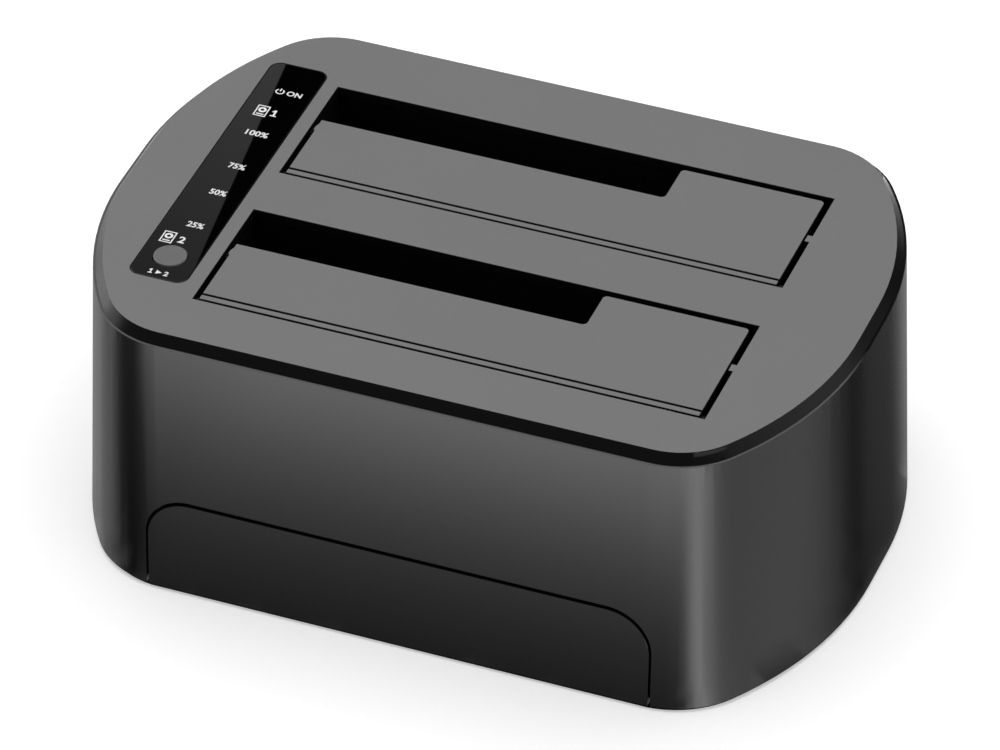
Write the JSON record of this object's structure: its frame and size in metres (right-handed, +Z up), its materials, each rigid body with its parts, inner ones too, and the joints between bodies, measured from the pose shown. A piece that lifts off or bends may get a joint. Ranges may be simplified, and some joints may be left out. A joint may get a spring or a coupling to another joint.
{
  "type": "hard drive docking station",
  "caption": "Twin-bay desktop docking station for bare hard drives, with sprung slot flaps, an indicator strip, a copy button and rear power, data and switch sockets.",
  "frame": {"origin": "on the ground under the middle of the case, in the plane of the feet's undersides", "axes": "+X to the right along the slots, +Y to the back where the sockets are, +Z up"},
  "size_m": [0.1588, 0.1112, 0.0608],
  "materials": {
    "matt_grey_plastic": "fine matt texture",
    "satin_black_plastic": "satin moulded",
    "black_plastic": "plain moulded",
    "gloss_black_plastic": "polished",
    "foot_rubber": "matt",
    "green_board": "solder mask",
    "port_steel": "nickel plated",
    "port_insulator": "moulded",
    "pin_metal": "plated",
    "spring_steel": "drawn wire",
    "screw_steel": "zinc plated",
    "contact_gold": "gold plated",
    "chip_epoxy": "moulded epoxy",
    "coil_ferrite": "sintered",
    "capacitor_can": "drawn",
    "header_plastic": "nylon",
    "ribbon_film": "polyester film",
    "lamp_resin": "clear resin"
  },
  "bodies": {
    "case": {"top_cover": "matt_grey_plastic", "body_shell": "satin_black_plastic", "base_tray": "satin_black_plastic", "rubber_feet": "foot_rubber", "drive_cradle": "black_plastic", "main_board": "green_board", "usb_port": "port_steel", "usb_port_tongues": "port_insulator", "power_jack": "black_plastic", "power_jack_pin": "pin_metal", "power_switch_body": "black_plastic", "bridge_chips": "chip_epoxy", "memory_chip": "chip_epoxy", "power_coils": "coil_ferrite", "voltage_regulators": "chip_epoxy", "capacitors": "capacitor_can", "clock_crystal": "capacitor_can", "board_header": "header_plastic", "panel_ribbon": "ribbon_film", "panel_header": "header_plastic", "indicator_lens": "gloss_black_plastic", "light_guide": "header_plastic", "status_lamps": "lamp_resin", "indicator_board": "green_board", "button_switch": "capacitor_can", "case_screws": "screw_steel", "board_screws": "screw_steel", "cradle_screws": "screw_steel", "panel_screws": "screw_steel", "drive_socket_rear": "black_plastic", "drive_socket_front": "black_plastic", "socket_contacts_rear": "contact_gold", "socket_contacts_front": "contact_gold", "flap_pin_rear": "pin_metal", "flap_pin_front": "pin_metal"},
    "rear_flap": {"flap_rear": "matt_grey_plastic", "flap_spring_rear": "spring_steel"},
    "front_flap": {"flap_front": "matt_grey_plastic", "flap_spring_front": "spring_steel"},
    "copy_button": {"clone_button": "matt_grey_plastic", "button_plunger": "black_plastic"},
    "power_rocker": {"power_switch_rocker": "gloss_black_plastic"}
  },
  "joints": [
    {"name": "rear_flap_hinge", "type": "hinge", "parent": "case", "child": "rear_flap", "pos_m": [0.0041, 0.00611, 0.0588], "axis": [-1, 0, 0], "range_deg": [0, 90], "stiffness_Nm_per_rad": 0.004, "springref_deg": -57.3},
    {"name": "front_flap_hinge", "type": "hinge", "parent": "case", "child": "front_flap", "pos_m": [0.0041, -0.03769, 0.0588], "axis": [-1, 0, 0], "range_deg": [0, 90], "stiffness_Nm_per_rad": 0.004, "springref_deg": -57.3},
    {"name": "copy_button_press", "type": "slide", "parent": "case", "child": "copy_button", "axis": [0, 0, -1], "range_m": [0, 0.0004], "stiffness_N_per_m": 2000, "springref_m": -0.0003},
    {"name": "power_rocker_tilt", "type": "hinge", "parent": "case", "child": "power_rocker", "pos_m": [0.03, 0.04974, 0.01285], "axis": [0, 0, -1], "range_deg": [0, 18]}
  ]
}
